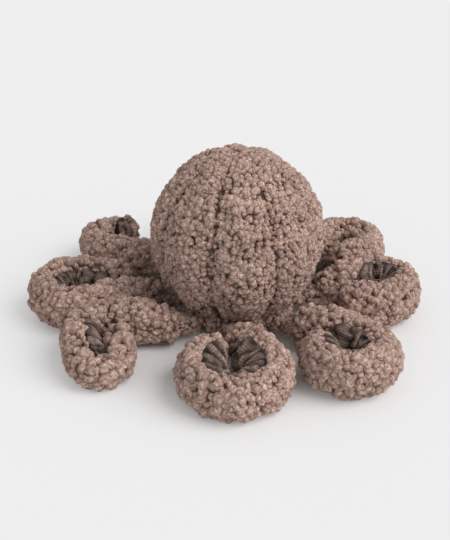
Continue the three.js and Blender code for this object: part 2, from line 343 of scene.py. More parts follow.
def makeLight():
    world = bpy.data.worlds.new("studio_sky")
    world.use_nodes = True
    sky = world.node_tree.nodes["Background"]
    setInputs(sky, {"Color": (1, 1, 1, 1), "Strength": studio["skyLight"]})
    scene.world = world
    bpy.ops.object.light_add(type="SUN")
    key = bpy.context.object
    key.name = "studio_key"
    key.rotation_euler = Vector(studio["keyFrom"]).to_track_quat("Z", "Y").to_euler()
    key.data.energy = studio["keyLight"]
    key.data.angle = math.radians(studio["keySoftness"])
    scene.view_settings.view_transform = "Standard"


makeCamera()
makeFloor()
makeLight()
print("studio made")


# materials

def srgb(red, green, blue):
    def straight(level):
        level /= 255
        return level / 12.92 if level <= 0.04045 else ((level + 0.055) / 1.055) ** 2.4
    return (straight(red), straight(green), straight(blue), 1)


# fine hairs of a spun yarn: a shade to multiply a colour with, and a height for bump
def makeFuzzGroup():
    inputs = {"Vector": "Vector", "Hair Scale": "Float", "Patch Scale": "Float"}
    outputs = {"Shade": "Color", "Height": "Float"}
    tree, inside, outside = newGroup("yarnFuzz", "ShaderNodeTree", inputs, outputs)
    hair = addNode(tree, "ShaderNodeTexNoise", {"Detail": 4, "Roughness": 0.72, "Distortion": 1.6})
    patch = addNode(tree, "ShaderNodeTexNoise", {"Detail": 2})
    hairShade = ramp(tree, (0.38, (0.57, 0.54, 0.53, 1)), (0.62, (1.25, 1.25, 1.25, 1)))
    patchShade = ramp(tree, (0.3, (0.86, 0.85, 0.85, 1)), (0.72, (1.06, 1.06, 1.06, 1)))
    link(
        tree,
        (inside, "Vector", hair, "Vector"),
        (inside, "Hair Scale", hair, "Scale"),
        (inside, "Vector", patch, "Vector"),
        (inside, "Patch Scale", patch, "Scale"),
        (hair, "Fac", hairShade, "Fac"),
        (patch, "Fac", patchShade, "Fac"),
        (multiply(tree, hairShade.outputs["Color"], patchShade.outputs["Color"]), outside, "Shade"),
        (hair, "Fac", outside, "Height"),
    )
    return tree


yarnFuzz = makeFuzzGroup()


def fuzzNode(tree, scales):
    node = addNode(tree, "ShaderNodeGroup", scales, node_tree=yarnFuzz)
    link(tree, (addNode(tree, "ShaderNodeTexCoord"), "Object", node, "Vector"))
    return node


def bumpInto(tree, shader, height, bump):
    node = addNode(tree, "ShaderNodeBump", bump)
    link(tree, (height, node, "Height"), (node, "Normal", shader, "Normal"))


def waveScale(pitch):
    return 2 * math.pi / 20 / pitch  # at a scale of 1 a wave texture repeats every 2 pi / 20


pileLook = {
    "root": srgb(136, 113, 103),  # painted shade deep between the curls and on the bare backing
    "side": srgb(180, 151, 138),
    "sideAt": 0.45,  # how far up a curl the painted shade reaches the side colour
    "top": srgb(212, 184, 171),
    "pale": (1.1, 1.09, 1.08, 1),
    "dull": (0.84, 0.83, 0.83, 1),
    "surface": {"Roughness": 0.95, "Sheen Weight": 0.25, "Sheen Tint": srgb(214, 190, 178)},
    "fuzz": {"Hair Scale": 420, "Patch Scale": 28},
    "bump": {"Strength": 1.0, "Distance": 1.6 * mm},
    "strand": {"Scale": waveScale(1.95 * mm), "Distortion": 6.0, "Detail": 1, "Detail Scale": 1.2},
    "strandAside": (2.0 * mm, 0.8 * mm, 0),  # the strands don't wind round the curl's very middle
    "strandStart": 40,  # and start elsewhere on each curl
    "strandShade": ((0.1, (0.84, 0.82, 0.81, 1)), (0.68, (1.22, 1.22, 1.22, 1))),
    "strandHeight": 0.35,  # against that of the hairs
}


def strandNode(tree, tint):
    own = addNode(tree, "ShaderNodeAttribute", attribute_name="own")
    aside = addNode(tree, "ShaderNodeVectorMath", {1: pileLook["strandAside"]}, operation="ADD")
    phase = addNode(tree, "ShaderNodeMath", {1: pileLook["strandStart"]}, operation="MULTIPLY")
    strand = addNode(tree, "ShaderNodeTexWave", pileLook["strand"], wave_type="RINGS", rings_direction="Z")
    link(
        tree,
        (own, "Vector", aside, 0),
        (aside, "Vector", strand, "Vector"),
        (tint, phase, 0),
        (phase, "Value", strand, "Phase Offset"),
    )
    return strand.outputs["Fac"]


def makePileMaterial():
    material, tree, shader = newMaterial("boucle_pile", pileLook["surface"])
    paintedLight = addNode(tree, "ShaderNodeAttribute", attribute_name="paintedLight").outputs["Fac"]
    tint = addNode(tree, "ShaderNodeAttribute", attribute_name="tint").outputs["Fac"]
    # painted shade: the pile is darker deep between its curls and on the backing, lighter on the curls'
    # tops
    depth = ramp(tree, (0, pileLook["root"]), (pileLook["sideAt"], pileLook["side"]), (1, pileLook["top"]))
    curl = ramp(tree, (0, pileLook["dull"]), (1, pileLook["pale"]))
    fuzz = fuzzNode(tree, pileLook["fuzz"])
    strand = strandNode(tree, tint)
    strandShade = ramp(tree, *pileLook["strandShade"])
    height = addNode(tree, "ShaderNodeMath", {1: pileLook["strandHeight"]}, operation="MULTIPLY_ADD")
    link(
        tree,
        (paintedLight, depth, "Fac"),
        (tint, curl, "Fac"),
        (strand, strandShade, "Fac"),
        (strand, height, 0),
        (fuzz, "Height", height, 2),
    )
    shades = (curl.outputs["Color"], fuzz.outputs["Shade"], strandShade.outputs["Color"])
    link(tree, (multiply(tree, depth.outputs["Color"], *shades), shader, "Base Color"))
    bumpInto(tree, shader, height.outputs["Value"], pileLook["bump"])
    return material


liningLook = {
    # painted shade: nearly black deep in the folds between the puckers, light on their faces
    "fold": (0.12, srgb(22, 16, 14)),
    "face": (0.95, srgb(182, 156, 145)),
    "surface": {"Roughness": 0.9, "Sheen Weight": 0.35, "Sheen Tint": srgb(190, 176, 170)},
    "rib": {"Scale": waveScale(1.7 * mm), "Distortion": 1.2, "Detail Scale": 2},
    "ribShade": ((0.1, (0.78, 0.77, 0.77, 1)), (0.8, (1.08, 1.08, 1.08, 1))),
    "fuzz": {"Hair Scale": 520, "Patch Scale": 60},
    "hairHeight": 2.5,  # against that of the ribs
    "bump": {"Strength": 0.6, "Distance": 0.35 * mm},
}


def makeLiningMaterial():
    material, tree, shader = newMaterial("ribbed_velour", liningLook["surface"])
    cloth = addNode(tree, "ShaderNodeUVMap", uv_map="cloth")
    crest = addNode(tree, "ShaderNodeAttribute", attribute_name="paintedLight")
    rib = addNode(tree, "ShaderNodeTexWave", liningLook["rib"], wave_type="BANDS", bands_direction="Y")
    ribShade = ramp(tree, *liningLook["ribShade"])
    # painted shade read from the lining's attribute
    depth = ramp(tree, liningLook["fold"], liningLook["face"])
    fuzz = fuzzNode(tree, liningLook["fuzz"])
    height = addNode(tree, "ShaderNodeMath", {1: liningLook["hairHeight"]}, operation="MULTIPLY_ADD")
    link(
        tree,
        (cloth, "UV", rib, "Vector"),
        (rib, "Fac", ribShade, "Fac"),
        (crest, "Fac", depth, "Fac"),
        (fuzz, "Height", height, 0),
        (rib, "Fac", height, 2),
    )
    shades = (ribShade.outputs["Color"], fuzz.outputs["Shade"])
    link(tree, (multiply(tree, depth.outputs["Color"], *shades), shader, "Base Color"))
    bumpInto(tree, shader, height.outputs["Value"], liningLook["bump"])
    return material


# plain stuffs that only need a colour with some life in it: the colour, its roughness,
# the scales of its hairs and patches, and how strong its bump and its sheen are
stuffLook = {
    "loose_fibre": (srgb(236, 233, 226), 1.0, 420, 60, 0.9, 0.2),
    "spun_thread": (srgb(104, 84, 75), 0.8, 2600, 90, 0.5, 0.0),
    "knit_elastic": (srgb(222, 215, 201), 0.75, 1700, 80, 0.8, 0.0),
    "moulded_bladder": (srgb(222, 228, 231), 0.42, 240, 30, 0.08, 0.0),
    "moulded_reed": (srgb(206, 210, 214), 0.35, 300, 40, 0.05, 0.0),
}
stuffBumpDepth = 0.5 * mm


def makeStuffMaterial(name):
    colour, roughness, hairScale, patchScale, bump, sheen = stuffLook[name]
    material, tree, shader = newMaterial(name, {"Roughness": roughness, "Sheen Weight": sheen})
    fuzz = fuzzNode(tree, {"Hair Scale": hairScale, "Patch Scale": patchScale})
    given = {"Factor": 1, "A": colour}
    base = addNode(tree, "ShaderNodeMix", given, data_type="RGBA", blend_type="MULTIPLY")
    link(tree, (fuzz, "Shade", base, "B"), (base, "Result", shader, "Base Color"))
    bumpInto(tree, shader, fuzz.outputs["Height"], {"Strength": bump, "Distance": stuffBumpDepth})
    return material


pileMaterial = makePileMaterial()
liningMaterial = makeLiningMaterial()
stuffs = {name: makeStuffMaterial(name) for name in stuffLook}
print("materials made")


# curls of yarn: a few shapes that are scattered over every pile surface

curlMake = {
    "width": 6.2 * mm,
    "height": 4.9 * mm,
    "sunk": 0.37,  # share of a curl's height that lies under the backing
    "rootRise": 0.18,  # painted shade of a curl at the backing, where its top has 1
    "leastRise": 0.05,
    "lumpSize": 0.7,
    "ball": (6, 7),  # points of a ball's profile, and its sides
    "strandSides": 6,
    "strandTaper": 0.82,  # a strand is thinner at its ends
    "beads": (  # size along X, Y and Z, and lumpiness
        ((1, 0.92, 0.85), 0.7),
        ((1, 0.85, 0.85), 0.9),
        ((1.15, 0.9, 0.8), 0.8),
        ((1.2, 1, 0.9), 1.0),
        ((1.0, 1.0, 0.9), 0.5),
    ),
    "bean": ((1.45, 0.95, 0.85), 120, 0.5),  # size, bend in degrees and lumpiness
    "comma": (3.0, 6, 200, 0.4),  # length, steps, bend in degrees and lumpiness
    "ring": (4.2, 7, 270, 0.35),
}


def makeBall(name, size):
    count, sides = curlMake["ball"]
    arc = [(math.cos(a), math.sin(a)) for a in np.linspace(-math.pi / 2, math.pi / 2, count)[1:-1]]
    piece = turned(name, [(0, -1), *arc, (0, 1)], sides)
    piece.scale = size
    applyPlace(piece)
    return piece


def makeStrand(name, length, steps):  # lies along X
    spots = np.linspace(-1, 1, steps + 1)
    profile = [(math.sqrt(1 - curlMake["strandTaper"] * t**4), t * length / 2) for t in spots]
    piece = turned(name, [(0, -length / 2), *profile, (0, length / 2)], curlMake["strandSides"])
    piece.rotation_euler = (0, math.pi / 2, 0)
    applyPlace(piece)
    return piece


def bend(piece, degrees):
    turn = piece.modifiers.new("bend", "SIMPLE_DEFORM")
    turn.deform_method = "BEND"
    turn.deform_axis = "Z"
    turn.angle = math.radians(degrees)
    applyAll(piece)
    return piece


def finishCurl(piece, lump):
    addLumps(piece, curlMake["lumpSize"], lump, 0.5)
    applyAll(piece)
    points = pointsOf(piece)
    low, high = points.min(0), points.max(0)
    points = (points - (low + high) / 2) / max(high[0] - low[0], high[1] - low[1]) * curlMake["width"]
    points[:, 2] *= curlMake["height"] / (points[:, 2].max() - points[:, 2].min())
    points[:, 2] += curlMake["height"] * (0.5 - curlMake["sunk"])
    setPoints(piece, points)
    # painted shade, darker towards each curl's root
    paintedLight = mixed((curlMake["rootRise"], 1), points[:, 2] / points[:, 2].max())
    setValues(piece, "paintedLight", np.clip(paintedLight, curlMake["leastRise"], 1))
    setValues(piece, "own", points)  # where each point lies on its curl, for the strands
    shadeSmooth(piece)
    return piece


def makeCurls():
    curls = []
    for number, (size, lump) in enumerate(curlMake["beads"]):
        curls.append(finishCurl(makeBall(f"curl_bead_{number}", size), lump))
    size, degrees, lump = curlMake["bean"]
    curls.append(finishCurl(bend(makeBall("curl_bean", size), degrees), lump))
    for kind in ("comma", "ring"):
        length, steps, degrees, lump = curlMake[kind]
        curls.append(finishCurl(bend(makeStrand(f"curl_{kind}", length, steps), degrees), lump))
    pool = bpy.data.collections.new("yarn_curls")
    for piece in curls:
        for home in list(piece.users_collection):
            home.objects.unlink(piece)
        pool.objects.link(piece)
    return pool


yarnCurls = makeCurls()
print("curls made")


scatterMake = {
    "density": 600000,  # far more than the spacing lets through
    "lift": 0.5 * mm,  # a curl stands this much higher or lower than its neighbours
    "tilt": 0.4,  # radians
    "turn": 6.283,
    "size": (0.72, 1.28),
}


# one node group scatters the curls; each surface gives its own spacing, size and seed
def makeScatterGroup():
    inputs = {"Geometry": "Geometry", "Zone": "String", "Spacing": "Float", "Size": "Float", "Seed": "Int"}
    outputs = {"Geometry": "Geometry"}
    tree, inside, outside = newGroup("scatterPile", "GeometryNodeTree", inputs, outputs)

    def chance(kind, low, high, seed):
        node = addNode(tree, "FunctionNodeRandomValue", {"Seed": seed}, data_type=kind)
        inputs = [socket for socket in node.inputs if socket.enabled]
        inputs[0].default_value = low
        inputs[1].default_value = high
        return next(socket for socket in node.outputs if socket.enabled)

    def multiplied(first, second):
        node = addNode(tree, "ShaderNodeMath", operation="MULTIPLY")
        link(tree, (first, node, 0), (second, node, 1))
        return node.outputs["Value"]

    zone = addNode(tree, "GeometryNodeInputNamedAttribute", data_type="FLOAT")
    fine = addNode(tree, "GeometryNodeInputNamedAttribute", {"Name": "curlSize"}, data_type="FLOAT")
    density = {"Density Max": scatterMake["density"]}
    spread = addNode(tree, "GeometryNodeDistributePointsOnFaces", density, distribute_method="POISSON")
    lift = addNode(tree, "GeometryNodeSetPosition")
    push = addNode(tree, "ShaderNodeVectorMath", operation="SCALE")
    children = {"Collection": yarnCurls, "Separate Children": True, "Reset Children": True}
    pool = addNode(tree, "GeometryNodeCollectionInfo", children)
    turn = addNode(tree, "FunctionNodeRotateRotation", rotation_space="LOCAL")
    spin = addNode(tree, "FunctionNodeEulerToRotation")
    plant = addNode(tree, "GeometryNodeInstanceOnPoints", {"Pick Instance": True})
    tint = addNode(tree, "GeometryNodeStoreNamedAttribute", data_type="FLOAT", domain="INSTANCE")
    setInputs(tint, {"Name": "tint"})
    real = addNode(tree, "GeometryNodeRealizeInstances")
    join = addNode(tree, "GeometryNodeJoinGeometry")
    tilt = scatterMake["tilt"]
    turns = chance("FLOAT_VECTOR", (-tilt, -tilt, 0), (tilt, tilt, scatterMake["turn"]), 13)
    sizes = multiplied(chance("FLOAT", *scatterMake["size"], 14), inside.outputs["Size"])
    link(
        tree,
        (inside, "Geometry", spread, "Mesh"),
        (inside, "Spacing", spread, "Distance Min"),
        (inside, "Zone", zone, "Name"),
        (zone, "Attribute", spread, "Density Factor"),
        (inside, "Seed", spread, "Seed"),
        (spread, "Normal", push, "Vector"),
        (chance("FLOAT", -scatterMake["lift"], scatterMake["lift"], 11), push, "Scale"),
        (spread, "Points", lift, "Geometry"),
        (push, "Vector", lift, "Offset"),
        (lift, "Geometry", plant, "Points"),
        (pool, "Instances", plant, "Instance"),
        (chance("INT", 0, len(yarnCurls.objects) - 1, 12), plant, "Instance Index"),
        (spread, "Rotation", turn, "Rotation"),
        (turns, spin, "Euler"),
        (spin, "Rotation", turn, "Rotate By"),
        (turn, "Rotation", plant, "Rotation"),
        (multiplied(sizes, fine.outputs["Attribute"]), plant, "Scale"),
        (plant, "Instances", tint, "Geometry"),
        (chance("FLOAT", 0.0, 1.0, 15), tint, "Value"),
        (tint, "Geometry", real, "Geometry"),
        (inside, "Geometry", join, "Geometry"),
        (real, "Geometry", join, "Geometry"),
        (join, "Geometry", outside, "Geometry"),
    )
    return tree


scatterPile = makeScatterGroup()


def growPile(piece, zones, seed):  # zones are names of attributes with a spacing and a size each
    for zone, (spacing, size) in zones.items():
        nodes = piece.modifiers.new(zone, "NODES")
        nodes.node_group = scatterPile
        given = {"Zone": zone, "Spacing": spacing, "Size": size, "Seed": seed}
        for item in scatterPile.interface.items_tree:
            if item.in_out == "INPUT" and item.name in given:
                nodes[item.identifier] = given[item.name]
    applyAll(piece)
    keepAbove(piece, 0)  # the floor presses the pile flat
    dress(piece, pileMaterial)
    piece.data.polygons.foreach_set("material_index", np.zeros(len(piece.data.polygons), np.int32))
    shadeSmooth(piece)


# stuffing: cloth pressure swells a sewn shape between its pinned seams

stuffing = {
    "quality": 6,
    "mass": 0.05,
    "tension_stiffness": 2,
    "compression_stiffness": 2,
    "shear_stiffness": 1,
    "bending_stiffness": 0.02,
    "tension_damping": 1,
    "compression_damping": 1,
    "shear_damping": 1,
    "use_pressure": True,
    "uniform_pressure_force": 800,
    "vertex_group_mass": "seams",
}
swellFrames = 20
keptDecimals = 5  # of a metre, so that each run ends the same


def swell(piece, pinned, cap):
    group = piece.vertex_groups.new(name="seams")
    group.add([int(i) for i in np.flatnonzero(pinned)], 1.0, "ADD")
    rest = pointsOf(piece)
    cloth = piece.modifiers.new("stuffing", "CLOTH")
    for name, value in stuffing.items():
        setattr(cloth.settings, name, value)
    cloth.settings.effector_weights.gravity = 0
    cloth.collision_settings.use_collision = False
    cloth.point_cache.frame_end = swellFrames
    for number in range(1, swellFrames + 1):
        scene.frame_set(number)
    applyAll(piece)
    scene.frame_set(1)
    moved = pointsOf(piece) - rest
    far = np.linalg.norm(moved, axis=1)
    moved *= (np.minimum(far, cap) / np.maximum(far, 1e-9))[:, None]
    setPoints(piece, rest + moved.round(keptDecimals))
    piece.vertex_groups.clear()
    print(f"{piece.name} swelled {far.mean() / mm:.2f} mm on average, {far.max() / mm:.2f} at most")


# head

headMake = {
    "halfWidth": 62.5 * mm,
    "halfHeight": 65 * mm,
    "seamHeight": 17 * mm,  # where the panels end at the base seam
    "panelTurn": 4.5,
    "panels": 8,
    "sides": 64,
    "rings": 34,
    "rimBand": 0.5 * mm,
    "bareRadius": 38 * mm,  # no pile grows where the base is sewn on
    "onSeam": 0.02,  # points this close to a seam, in half panels, are pinned
    "seamDraw": 2.2 * mm,
    "seamSharp": 5,
    "seamShown": (12 * mm, 44 * mm),  # near the crown the pile hides the seams
    "parting": 0.45,  # the share of the curls that grow on a seam
    "partingWidth": 0.7 * mm,
    "partingFrom": 0.6,  # where a seam shows by this share
    "seamCurl": 0.32,  # how much smaller the curls beside a seam are
    "seamCurlOver": (0.5 * mm, 4 * mm),
    "paintedCreaseShade": 0.32,  # how far painted shade darkens the pile in the crease of a seam
    "creaseOver": (0.6 * mm, 2.4 * mm),
    "crownGap": 3 * mm,  # closer to the axis the thread runs straight to the knot
    "backing": 3.9 * mm,  # the knit backing lies this far under the tips of the pile
    "cap": 1.6 * mm,
    "zones": {"pile": (3.4 * mm, 1.14)},  # spacing and size of the curls
}
headTurn = math.radians(headMake["panelTurn"] - 90 + 180 / headMake["panels"])
panelStep = 2 * math.pi / headMake["panels"]


def outOfHead(points):  # directions from the head's middle
    out = points - np.array([0, 0, headMake["halfHeight"]])
    return out / np.linalg.norm(out, axis=1)[:, None]


# where points lie: their seam, how far across a half panel, from the axis and from the seam,
# how much the seam shows there, and whether they lie at the rim
def seamPlace(points):
    seam = (np.arctan2(points[:, 1], points[:, 0]) - headTurn) / panelStep
    across = np.abs(seam - np.round(seam)) * 2
    flat = np.hypot(points[:, 0], points[:, 1])
    shown = smoothStep(flat, *headMake["seamShown"])
    rim = points[:, 2] < headMake["seamHeight"] + headMake["rimBand"]
    near = across * flat * panelStep / 2
    return np.round(seam).astype(int) % headMake["panels"], across, flat, near, shown, rim


def makeHead():
    make = headMake
    low, middle = make["seamHeight"], make["halfHeight"]
    wide, tall = make["halfWidth"] - make["backing"], middle - make["backing"]
    angles = np.linspace(math.asin((low - middle) / tall), math.pi / 2, make["rings"])
    arc = [(wide * math.cos(a), middle + tall * math.sin(a)) for a in angles]
    under = [(arc[0][0] * share, low) for share in (0, 0.3, 0.6, 0.85)]
    head = turned("head_pile", [*under, *arc[:-1], (0, middle + tall)], make["sides"])
    head.rotation_euler = (0, 0, headTurn)
    applyPlace(head)

    points = pointsOf(head)
    seam, across, flat, _, shown, rim = seamPlace(points)
    pull = make["seamDraw"] * (1 - across) ** make["seamSharp"] * shown
    setPoints(head, points - outOfHead(points) * pull[:, None])
    onSeam = across < make["onSeam"]
    swell(head, onSeam | rim, make["cap"])
    points = pointsOf(head)
    seams = []
    for number in range(make["panels"]):
        line = points[onSeam & (seam == number) & (flat > make["crownGap"])]
        seams.append(line[np.argsort(line[:, 2], kind="stable")])

    subdivideOnce(head)
    _, _, flat, near, shown, rim = seamPlace(pointsOf(head))
    bare = rim & (flat < make["bareRadius"])
    parted = (near < make["partingWidth"]) & (shown > make["partingFrom"])
    setValues(head, "pile", np.where(bare, 0, np.where(parted, make["parting"], 1)))
    beside = 1 - smoothStep(near, *make["seamCurlOver"])
    setValues(head, "curlSize", 1 - make["seamCurl"] * shown * beside)
    growPile(head, make["zones"], seed=3)
    # painted shade along the crease of each seam
    _, _, _, near, shown, _ = seamPlace(pointsOf(head))
    paintedCreaseShade = shown * (1 - smoothStep(near, *make["creaseOver"]))
    setValues(head, "paintedLight", valuesOf(head, "paintedLight") * (1 - make["paintedCreaseShade"] * paintedCreaseShade))
    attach(head, "head")
    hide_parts(*[f"head_panel_{k + 1}" for k in range(headMake["panels"])])
    return head, seams


head, headSeams = makeHead()
print(f"head made, {len(head.data.polygons)} faces")


threadMake = {
    "thick": 0.45 * mm,
    "lift": 0.3 * mm,
    "knot": 3.0 * mm,
    "knotFlat": 0.45,
    "knotHeight": 126.6 * mm,
}


def makeSeamThread():
    strands = []
    top = np.array([0, 0, threadMake["knotHeight"]])
    for line in headSeams:
        pickNone()
        bpy.ops.curve.primitive_nurbs_path_add()
        strand = bpy.context.object
        strand.data.splines.clear()
        run = strand.data.splines.new("POLY")
        spots = np.vstack([line + outOfHead(line) * threadMake["lift"], top])
        run.points.add(len(spots) - 1)
        for point, spot in zip(run.points, spots):
            point.co = (*spot, 1)
        strand.data.bevel_depth = threadMake["thick"]
        strand.data.bevel_resolution = 1
        strand.data.use_fill_caps = True
        pickOnly(strand)
        bpy.ops.object.convert(target="MESH")
        strands.append(bpy.context.object)
    pickNone()
    bpy.ops.mesh.primitive_uv_sphere_add(segments=12, ring_count=8, radius=threadMake["knot"], location=top)
    knot = newPiece("head_stitching")
    knot.scale = (1, 1, threadMake["knotFlat"])
    applyPlace(knot)
    for strand in strands:
        strand.select_set(True)
    bpy.context.view_layer.objects.active = knot
    bpy.ops.object.join()
    dress(knot, stuffs["spun_thread"])
    shadeSmooth(knot)
    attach(knot, "head")
    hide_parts("head_seam_thread")


makeSeamThread()
print("seam thread made")


# base: the panel that the toy stands on, and the seam roll around it

baseMake = {
    "radius": 38.6 * mm,
    "flatRadius": 32 * mm,
    "low": 2.4 * mm,
    "rim": 5.2 * mm,
    "edgeLift": 1.4 * mm,  # the panel turns up towards its edge
    "sides": 48,
    "zones": {"pile": (4.0 * mm, 1.0)},
    "rollRadius": 40.2 * mm,
    "rollHeights": (6.5 * mm, 16.5 * mm),
    "rollWall": 1.2 * mm,
    "rollRings": 5,
    "rollSides": 64,
    "rollZones": {"pile": (3.2 * mm, 0.9)},
}


def growWhere(piece, where, zones, seed):
    setValues(piece, "pile", where.astype(float))
    setValues(piece, "curlSize", np.ones(len(where)))
    growPile(piece, zones, seed)


def makeBasePanel():
    low, high = baseMake["low"], baseMake["rim"]
    under = [(baseMake["radius"] * share, low) for share in (0, 0.2, 0.4, 0.6, 0.8, 0.92, 1)]
    over = [(baseMake["radius"] * share, high) for share in (1, 0.6, 0)]
    panel = turned("base_pile", [*under, *over], baseMake["sides"])
    points = pointsOf(panel)
    flat = np.hypot(points[:, 0], points[:, 1])
    below = points[:, 2] < (low + high) / 2
    turnedUp = baseMake["edgeLift"] * smoothStep(flat, baseMake["flatRadius"], baseMake["radius"])
    points[:, 2] += np.where(below, turnedUp, 0)
    setPoints(panel, points)
    growWhere(panel, below, baseMake["zones"], seed=5)
    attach(panel, "head")
    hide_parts("base_panel")


def makeSeamRoll():
    heights = np.linspace(*baseMake["rollHeights"], baseMake["rollRings"])
    roll = turned("base_seam_roll", [(baseMake["rollRadius"], h) for h in heights], baseMake["rollSides"])
    wall = roll.modifiers.new("wall", "SOLIDIFY")
    wall.thickness = baseMake["rollWall"]
    wall.offset = -1
    applyAll(roll)
    outer = np.hypot(*pointsOf(roll)[:, :2].T) > baseMake["rollRadius"] - baseMake["rollWall"] / 4
    growWhere(roll, outer, baseMake["rollZones"], seed=6)
    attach(roll, "head")
    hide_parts("base_seam_band")


makeBasePanel()
makeSeamRoll()
print("base made")


# arms

armMake = {
    "rootRadius": 48.4 * mm,
    "rootHeight": 11.5 * mm,
    "height": (34.5 * mm, 33 * mm),  # at the root end and at the tip
    "width": (30 * mm, 26 * mm),
    "hemHeight": 12 * mm,
    "hemWidth": 24 * mm,
    "hemStart": 0.93,  # share of the hem where the cover's first ring lies
    "swellLength": 38 * mm,
    "tipLength": 14 * mm,
    "tipGap": 0.4 * mm,
    "innerFlatness": 0.95,
    "floorFlat": 0.5 * mm,
    "floorGap": 1.6 * mm,  # the backing stays this far above the floor
    "deepest": 0.6,  # no point lies deeper than this share of the arm's half
    "liningOpen": 20 * mm,  # the lining opens from a point to its full width over this length
    "liningTip": (0, 9 * mm),  # and closes again this far from the tip
    "liningBed": 1.2 * mm,  # the backing lies this much deeper behind it
    "bedEdge": 6,  # from so many degrees inside its edge
    "pileOver": 14,  # degrees that the pile's curls hang over the lining's edges
    "ragged": 0.9,  # how far that edge wanders, as a share
    "raggedStep": 7 * mm,
    "edgeCurl": 0.68,  # size of the curls at the lining, which grow away from it over these degrees
    "edgeCurlOver": (-14, 34),
    "backing": 4.1 * mm,
    "sides": 28,
    "rings": 58,
    "evenRings": 0.6,  # the share of the rings' spacing that isn't drawn towards the ends
    "pinnedRings": 4,
    "cap": 1.2 * mm,
    "zones": {"pile": (4.1 * mm, 1.42), "neck": (3.0 * mm, 1.1)},
    "neck": (10 * mm, 28 * mm),  # the curls are finer near the root
    "neckShares": (0.3, 0.6),  # between these the two kinds of curls mix
    "bendFrom": 43 * mm,  # the cover bends between these, from the middle
    "bendTo": 63 * mm,
}

# arcs of (length in mm, bend in degrees) from the root, clockwise from above unless curl is -1.
# girth scales the height and the width; the lining opens from lined on and laps so many degrees
# to each side at its start, its middle and the tip, and puff is how far it bulges. Some linings
# have a pleat, open, end, tip or flatShare of their own; dip is the place, the spread and the
# share of its height that an arm loses where it is pressed down
armLines = [
    {"name": "front", "girth": (1, 0.9), "lined": 20 * mm, "lap": (60, 38, 66), "puff": 1.3,
     "arcs": [(16, -30), (34, 0), (95, 198), (43, 86)]},
    {"name": "front_right", "girth": (1.1, 1.03), "lined": 34 * mm, "lap": (66, 38, 78), "puff": 0.5,
     "arcs": [(16, -12), (49, 0), (71, 194), (30, 82)]},
    {"name": "right", "girth": (1.15, 0.98), "lined": 30 * mm, "lap": (68, 64, 54), "puff": 0.3,
     "pleat": 8.5 * mm, "arcs": [(20, -20), (33, 0), (62, 204), (27, 4)]},
    {"name": "back_right", "girth": (1.08, 0.96), "lined": 46 * mm, "lap": (16, 16, 16), "puff": 0.2,
     "arcs": [(16, -4), (40, 0), (67, 208), (19, 0)]},
    {"name": "back", "girth": (1, 0.93), "lined": 20 * mm, "lap": (60, 38, 66), "puff": 1,
     "arcs": [(16, -38), (30, 0), (94, 200), (42, 66)]},
    {"name": "back_left", "girth": (0.96, 0.85), "lined": 112 * mm, "lap": (70, 96, 110), "puff": 0.3,
     "pleat": 6 * mm, "open": 9 * mm, "end": 1 * mm, "tip": (-8 * mm, -2 * mm),
     "arcs": [(20, -25), (57, 0), (35, 147), (24, 0)]},
    {"name": "left", "girth": (1.05, 0.88), "lined": 48 * mm, "lap": (46, 38, 32), "puff": 0.45,
     "pleat": 8.5 * mm, "arcs": [(30, -24), (38, 0), (49, 130), (31, 76), (40, 14)]},
    {"name": "front_left", "girth": (1.13, 0.83), "lined": 70 * mm, "lap": (58, 50, 8), "puff": 0.9,
     "pleat": 8 * mm, "flatShare": 0.65, "curl": -1, "dip": (134 * mm, 17 * mm, 0.36),
     "arcs": [(24, -42), (36, 0), (35, 97), (18, 0), (42, 182), (17, 0)]},
]


def azimuthOf(number):
    return math.radians(-90 + 360 / len(armLines) * number)  # the first arm points to the front


def lineLength(line):
    return sum(run for run, _ in line["arcs"]) * mm


def linePlace(line, azimuth, distance):
    curl = line.get("curl", 1)
    x, y = armMake["rootRadius"] * math.cos(azimuth), armMake["rootRadius"] * math.sin(azimuth)
    heading, rest = azimuth, distance
    for run, bendAngle in line["arcs"]:
        step = min(rest, run * mm)
        turn = -curl * math.radians(bendAngle) * step / (run * mm) if step > 0 else 0
        chord = step if turn == 0 else step * math.sin(turn / 2) / (turn / 2)
        x += chord * math.cos(heading + turn / 2)
        y += chord * math.sin(heading + turn / 2)
        heading += turn
        rest -= step
        if rest <= 0:
            break
    return x, y, heading


def dipAt(line, distance):
    place, spread, share = line.get("dip", (0, 1, 0))
    return share * math.exp(-(((distance - place) / spread) ** 2))


# half height, half width, half angle of the lining, and height of the middle
def sectionAt(line, distance):
    length = lineLength(line)
    full = float(smoothStep(distance, 0, armMake["swellLength"]))
    taper = max(distance, 0) / length
    hem = armMake["hemHeight"] / 2
    tall = mixed(armMake["height"], taper) / 2 * line["girth"][0] * (1 - dipAt(line, distance))
    wide = mixed(armMake["width"], taper) * line["girth"][1]
    closed = math.sqrt(max(1 - (distance / hem) ** 2, 0)) if distance < 0 else 1
    into = max((distance - (length - armMake["tipLength"])) / armMake["tipLength"], 0)
    rounded = max(1 - into**3, 0) ** (1 / 3)
    halfHeight = mixed((hem, tall), full) * closed * rounded
    halfWidth = mixed((armMake["hemWidth"], wide), full) / (1 + armMake["innerFlatness"]) * rounded
    lined = line["lined"]
    opening = float(smoothStep(distance, lined, lined + line.get("open", armMake["liningOpen"])))
    opening *= float(smoothStep(length - distance, *line.get("tip", armMake["liningTip"])))
    opening *= float(np.interp((distance - lined) / (length - lined), (0, 0.5, 1), line["lap"]))
    middle = mixed((armMake["rootHeight"], tall - armMake["floorFlat"]), full)
    return halfHeight, halfWidth, opening, middle


